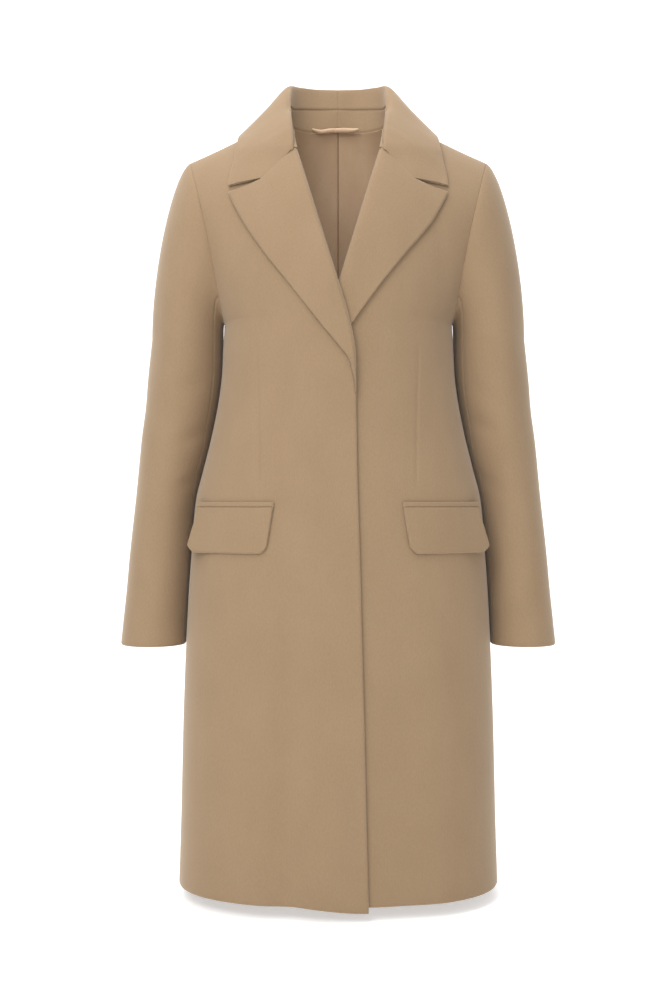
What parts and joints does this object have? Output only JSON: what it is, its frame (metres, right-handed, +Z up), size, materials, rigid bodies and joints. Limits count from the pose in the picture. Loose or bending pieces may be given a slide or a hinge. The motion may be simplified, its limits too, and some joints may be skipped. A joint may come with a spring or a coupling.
{
  "type": "overcoat",
  "caption": "Knee-length camel wool overcoat, filled out as if worn, with a notched collar, hidden front fastening and flap pockets.",
  "frame": {"origin": "midway between the side neck points, where the wearer's shoulders hold the coat", "axes": "+Z up the wearer, +Y towards the wearer's back; the coat faces -Y"},
  "size_m": [0.583, 0.311, 1.0901],
  "materials": {
    "camel_wool": "matte",
    "tan_satin_lining": "satin"
  },
  "bodies": {
    "root": {"collar_stand": "camel_wool", "hanger_loop": "tan_satin_lining", "left_back": "camel_wool", "left_back_lining": "tan_satin_lining", "left_front": "camel_wool", "left_lapel": "camel_wool", "left_pocket_flap": "camel_wool", "left_pocket_welt": "camel_wool", "left_under_sleeve": "camel_wool", "left_upper_sleeve": "camel_wool", "right_back": "camel_wool", "right_back_lining": "tan_satin_lining", "right_front": "camel_wool", "right_lapel": "camel_wool", "right_pocket_flap": "camel_wool", "right_pocket_welt": "camel_wool", "right_under_sleeve": "camel_wool", "right_upper_sleeve": "camel_wool", "upper_collar": "camel_wool"}
  },
  "joints": []
}
